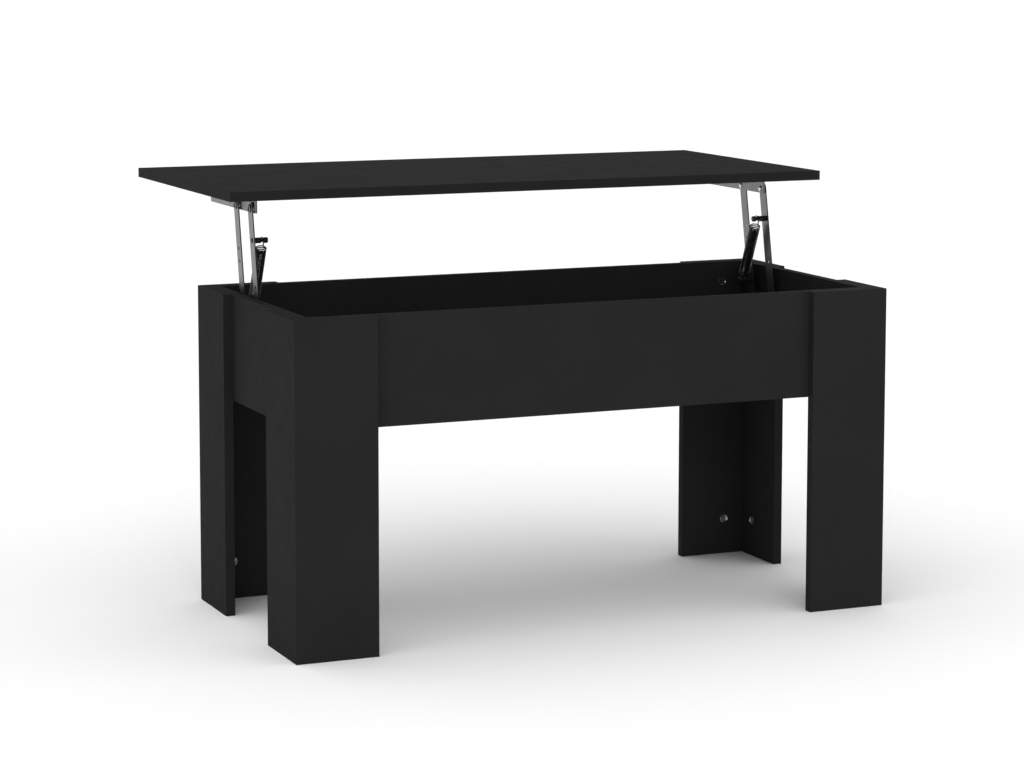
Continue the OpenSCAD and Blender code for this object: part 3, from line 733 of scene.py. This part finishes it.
for side, sx in SIDES.items():
    node = side + "_top_screws"
    low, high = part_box(node)
    first, last = ends_of(low.y, high.y)
    for i in range(4):
        y = first + (last - first) * i / 3
        place(f"{side}_top_screw_{i + 1}", PAN, ((low.x + high.x) / 2, y, low.z), (0, 0, 1), "top", node)
    node = side + "_base_screws"
    low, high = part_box(node)
    head = low.x if sx > 0 else high.x
    for i, y in enumerate(ends_of(low.y, high.y)):
        for k, z in enumerate(ends_of(low.z, high.z)):
            place(f"{side}_base_screw_{2 * i + k + 1}", PAN, (head, y, z), (sx, 0, 0), "frame", node)

low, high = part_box("leg_screws")
middle = (low.y + high.y) / 2

# faces that the fittings are set in, from the middle of the frame
WALL_INSIDE, WALL_END_INSIDE, LEG_FACE_INSIDE, LEG_SIDE_INSIDE = 200 * MM, 460 * MM, 215 * MM, 475 * MM
FLOOR_UNDERSIDE = 345.5 * MM
# how far each kind of fitting stands from the middle of the frame along its own face
LONG_WALL_SCREW, SHORT_WALL_SCREW, LEG_FACE_CAM, LEG_SIDE_CAM = 400 * MM, 180 * MM, 441 * MM, 181 * MM
WALL_CAM, FLOOR_CAM = 426 * MM, 166 * MM
# how far each kind of cam is turned
LEG_CAM_TURN, WALL_CAM_TURN, FLOOR_CAM_TURN = 0.15, 0.3, math.radians(45)

count = 0
for sx in (-1, 1):
    for sy in (-1, 1):
        for z in ends_of(low.z, high.z):
            count += 2
            place(f"leg_screw_{count - 1:02d}", FLAT, (sx * LONG_WALL_SCREW, middle + sy * WALL_INSIDE, z),
                  (0, sy, 0), "frame", "leg_screws")
            place(f"leg_screw_{count:02d}", FLAT, (sx * WALL_END_INSIDE, middle + sy * SHORT_WALL_SCREW, z),
                  (sx, 0, 0), "frame", "leg_screws")

for sx in (-1, 1):
    for sy in (-1, 1):
        corner = f"{'front' if sy < 0 else 'back'}_{'left' if sx < 0 else 'right'}"
        for level, z in (("low", 60), ("high", 445)):
            place(f"{corner}_leg_face_cam_{level}", CAM, (sx * LEG_FACE_CAM, middle + sy * LEG_FACE_INSIDE, z * MM),
                  (0, sy, 0), "frame", "leg_cams", LEG_CAM_TURN)
            place(f"{corner}_leg_side_cam_{level}", CAM, (sx * LEG_SIDE_INSIDE, middle + sy * LEG_SIDE_CAM, z * MM),
                  (sx, 0, 0), "frame", "leg_cams", LEG_CAM_TURN)
        for level, z in (("low", 388), ("high", 472)):
            place(f"{corner}_wall_cam_{level}", CAM, (sx * WALL_CAM, middle + sy * WALL_INSIDE, z * MM),
                  (0, sy, 0), "frame", "wall_cams", WALL_CAM_TURN)
for sy in (-1, 1):
    for i, x in enumerate((-300, 0, 300)):
        place(f"{'front' if sy < 0 else 'back'}_floor_cam_{i + 1}", CAM,
              (x * MM, middle + sy * FLOOR_CAM, FLOOR_UNDERSIDE), (0, 0, 1), "frame", "floor_cams", FLOOR_CAM_TURN)


# ---- floor, lights and camera ----

floor_mesh = bpy.data.meshes.new("studio_floor")
floor_mesh.from_pydata([(-60, -7, 0), (60, -7, 0), (60, 60, 0), (-60, 60, 0)], [], [(0, 1, 2, 3)])
studio_floor = bpy.data.objects.new("studio_floor", floor_mesh)
studio_floor.location.z = -0.0002
bpy.context.scene.collection.objects.link(studio_floor)
floor_mesh.materials.append(floor_paint())


def lamp(name, kind, energy, at, towards, **settings):
    """A light at a point, turned towards another."""
    data = bpy.data.lights.new(name, kind)
    data.energy = energy
    for key, value in settings.items():
        setattr(data, key, value)
    made = bpy.data.objects.new(name, data)
    made.location = at
    made.rotation_euler = (Vector(towards) - Vector(at)).to_track_quat("-Z", "Y").to_euler()
    bpy.context.scene.collection.objects.link(made)
    return made


lamp("left_overhead", "SUN", 0.55, (-1.3, 0.0, 2.8), (0, 0, 0), angle=math.radians(75))
front_fill = lamp("front_fill", "SUN", 0.64, (-1.5, -4.4, 0.9), (0, 0, 0.2), angle=math.radians(45))
# kept out of the metal's reflections, so that the arms' front edges stay dark
front_fill.visible_glossy = False
glints = lamp("glints", "AREA", 22, (-3.2, -2.6, 1.3), (0, 0, 0.3), size=0.8)
glints.visible_diffuse = False

# the surroundings: white, and darker behind the camera in what shiny metal mirrors
world = bpy.data.worlds.new("studio")
bpy.context.scene.world = world
world.use_nodes = True
tree = world.node_tree
new, join = tree.nodes.new, tree.links.new
even = tree.nodes["Background"]
even.inputs["Color"].default_value = (1, 1, 1, 1)
even.inputs["Strength"].default_value = 0.93
seen, mirrored = new("ShaderNodeBackground"), new("ShaderNodeBackground")
seen.inputs["Color"].default_value = (0.97, 0.97, 0.97, 1)
direction, split, fall = new("ShaderNodeTexCoord"), new("ShaderNodeSeparateXYZ"), new("ShaderNodeMapRange")
join(direction.outputs["Generated"], split.inputs["Vector"])
join(split.outputs["Y"], fall.inputs["Value"])
for key, value in (("From Min", -0.7), ("From Max", 0.3), ("To Min", 0.03), ("To Max", 0.75)):
    fall.inputs[key].default_value = value
join(fall.outputs["Result"], mirrored.inputs["Strength"])
rays, first, second = new("ShaderNodeLightPath"), new("ShaderNodeMixShader"), new("ShaderNodeMixShader")
join(rays.outputs["Is Glossy Ray"], first.inputs["Fac"])
join(even.outputs["Background"], first.inputs[1])
join(mirrored.outputs["Background"], first.inputs[2])
join(rays.outputs["Is Camera Ray"], second.inputs["Fac"])
join(first.outputs["Shader"], second.inputs[1])
join(seen.outputs["Background"], second.inputs[2])
join(second.outputs["Shader"], tree.nodes["World Output"].inputs["Surface"])
bpy.context.scene.view_settings.view_transform = "Standard"

# the camera is fitted to the corners of the table in the photograph
camera_data = bpy.data.cameras.new("camera")
camera_data.lens = 103.032
camera_data.shift_x = 0.0267
camera_data.shift_y = -0.12
camera_data.clip_end = 300
camera = bpy.data.objects.new("camera", camera_data)
camera.location = (-1.861, -4.3134, 1.0655)
camera.rotation_euler = (math.radians(90 - 6.485), 0, math.radians(-22.913))
bpy.context.scene.collection.objects.link(camera)
bpy.context.scene.camera = camera
